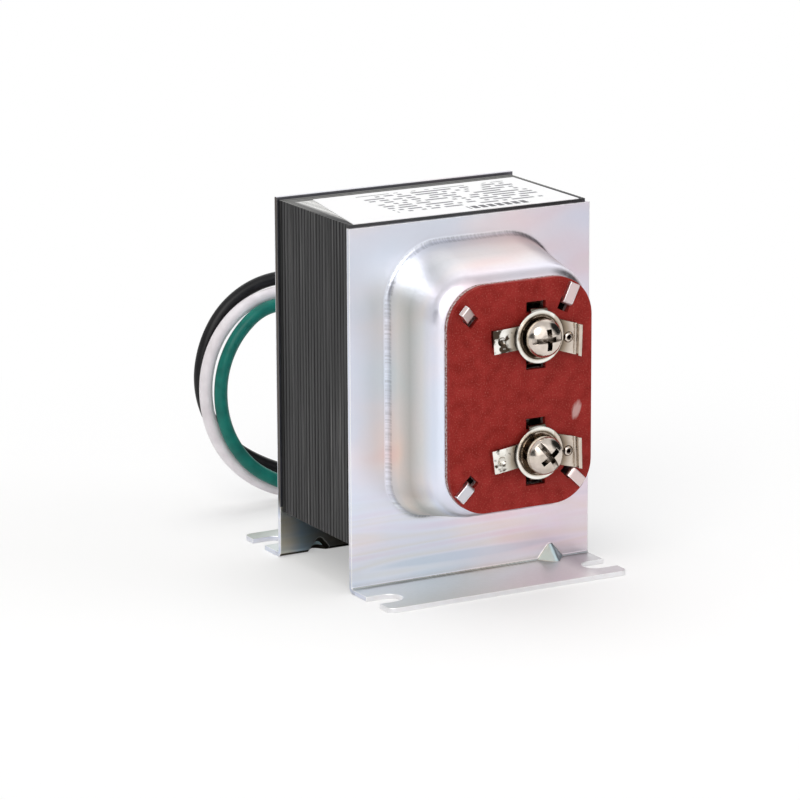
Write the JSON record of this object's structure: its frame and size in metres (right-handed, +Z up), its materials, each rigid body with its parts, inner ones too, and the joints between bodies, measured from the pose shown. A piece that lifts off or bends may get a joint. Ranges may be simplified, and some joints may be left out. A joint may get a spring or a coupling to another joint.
{
  "type": "doorbell transformer",
  "caption": "Bell transformer: a laminated steel core between drawn end bells with slotted feet, a fibre board with screw terminals in front and insulated leads at the back.",
  "frame": {"origin": "on the mounting surface, midway between the two feet and in the middle of the plates' width", "axes": "+X to the right as seen from the terminals, -Y out of the terminal side, +Z up from the mounting surface"},
  "size_m": [0.0681, 0.1127, 0.0766],
  "materials": {
    "zinc_plate": "bright zinc plate with a faint iridescent tint",
    "core_steel": "dark oxide edges",
    "fibre_board": "red vulcanised fibre",
    "nickel": "bright nickel plate",
    "copper": "enamelled or bare copper",
    "bobbin_nylon": "natural nylon",
    "tape": "yellow polyester tape",
    "insulating_paper": "pressed fish paper",
    "sleeve": "glass sleeving",
    "label_stock": "white coated label, blank",
    "bushing_nylon": "black nylon",
    "black_insulation": "black PVC",
    "white_insulation": "white PVC",
    "green_insulation": "green PVC"
  },
  "bodies": {
    "root": {"front_bell": "zinc_plate", "rear_bell": "zinc_plate", "e_laminations": "core_steel", "i_laminations": "core_steel", "coil_bobbin": "bobbin_nylon", "primary_winding": "copper", "primary_tape": "tape", "secondary_winding": "copper", "secondary_tape": "tape", "terminal_board": "fibre_board", "upper_terminal_plate": "nickel", "lower_terminal_plate": "nickel", "upper_terminal_screw": "nickel", "lower_terminal_screw": "nickel", "upper_secondary_lead": "sleeve", "lower_secondary_lead": "sleeve", "front_insulator": "insulating_paper", "rear_insulator": "insulating_paper", "thermal_cutoff": "sleeve", "lead_bushing": "bushing_nylon", "rating_label": "label_stock", "black_lead": "black_insulation", "black_lead_strands": "copper", "white_lead": "white_insulation", "white_lead_strands": "copper", "green_lead": "green_insulation", "green_lead_strands": "copper", "black_splice": "sleeve", "white_splice": "sleeve", "ground_lug": "copper"}
  },
  "joints": []
}
